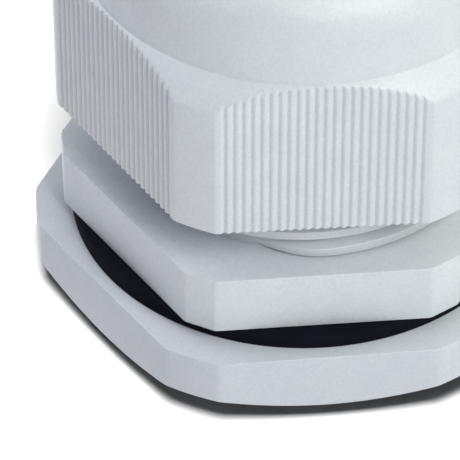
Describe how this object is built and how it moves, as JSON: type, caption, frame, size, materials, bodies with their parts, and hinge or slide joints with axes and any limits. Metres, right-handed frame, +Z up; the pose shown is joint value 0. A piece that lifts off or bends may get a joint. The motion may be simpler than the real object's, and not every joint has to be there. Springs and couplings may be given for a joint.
{
  "type": "cable gland",
  "caption": "Plastic cable gland: hex dome nut over a hex-flanged threaded body, rubber gasket and locknut, with seal and clamping cage inside.",
  "frame": {"origin": "centre of the connecting thread's end face, which the gland stands on", "axes": "+Z up along the gland's axis towards the cable entry, +X and +Y level, with the flange's flats facing +Y and -Y"},
  "size_m": [0.0786, 0.0724, 0.075],
  "materials": {
    "body": "moulded light grey",
    "nut": "moulded light grey",
    "locknut": "moulded light grey",
    "gasket": "black sheet rubber",
    "washer": "natural white",
    "cage": "moulded grey",
    "seal": "black moulded rubber"
  },
  "bodies": {
    "body": {"gland_body": "body", "clamping_cage": "cage", "sealing_sleeve": "seal", "reducing_sleeve": "seal"},
    "slip_ring": {"thrust_washer": "washer"},
    "nut": {"compression_nut": "nut"},
    "seal_ring": {"flange_gasket": "gasket"},
    "locknut": {"locknut": "locknut"}
  },
  "joints": [
    {"name": "nut_travel", "type": "slide", "parent": "body", "child": "slip_ring", "axis": [0, 0, 1], "range_m": [-0.0089, 0.0119]},
    {"name": "nut_turn", "type": "hinge", "parent": "slip_ring", "child": "nut", "pos_m": [0, 0, 0.0354], "axis": [0, 0, 1], "range_deg": [-945, 1262]},
    {"name": "locknut_travel", "type": "slide", "parent": "body", "child": "seal_ring", "axis": [0, 0, 1], "range_m": [-0.0031, 0]},
    {"name": "locknut_turn", "type": "hinge", "parent": "seal_ring", "child": "locknut", "pos_m": [0, 0, 0.0137], "axis": [0, 0, 1], "range_deg": [-485, 0]}
  ],
  "couplings": [
    {"joint": "nut_turn", "follows": "nut_travel", "rad_per_m": 1848},
    {"joint": "locknut_turn", "follows": "locknut_travel", "rad_per_m": 2721.2}
  ]
}
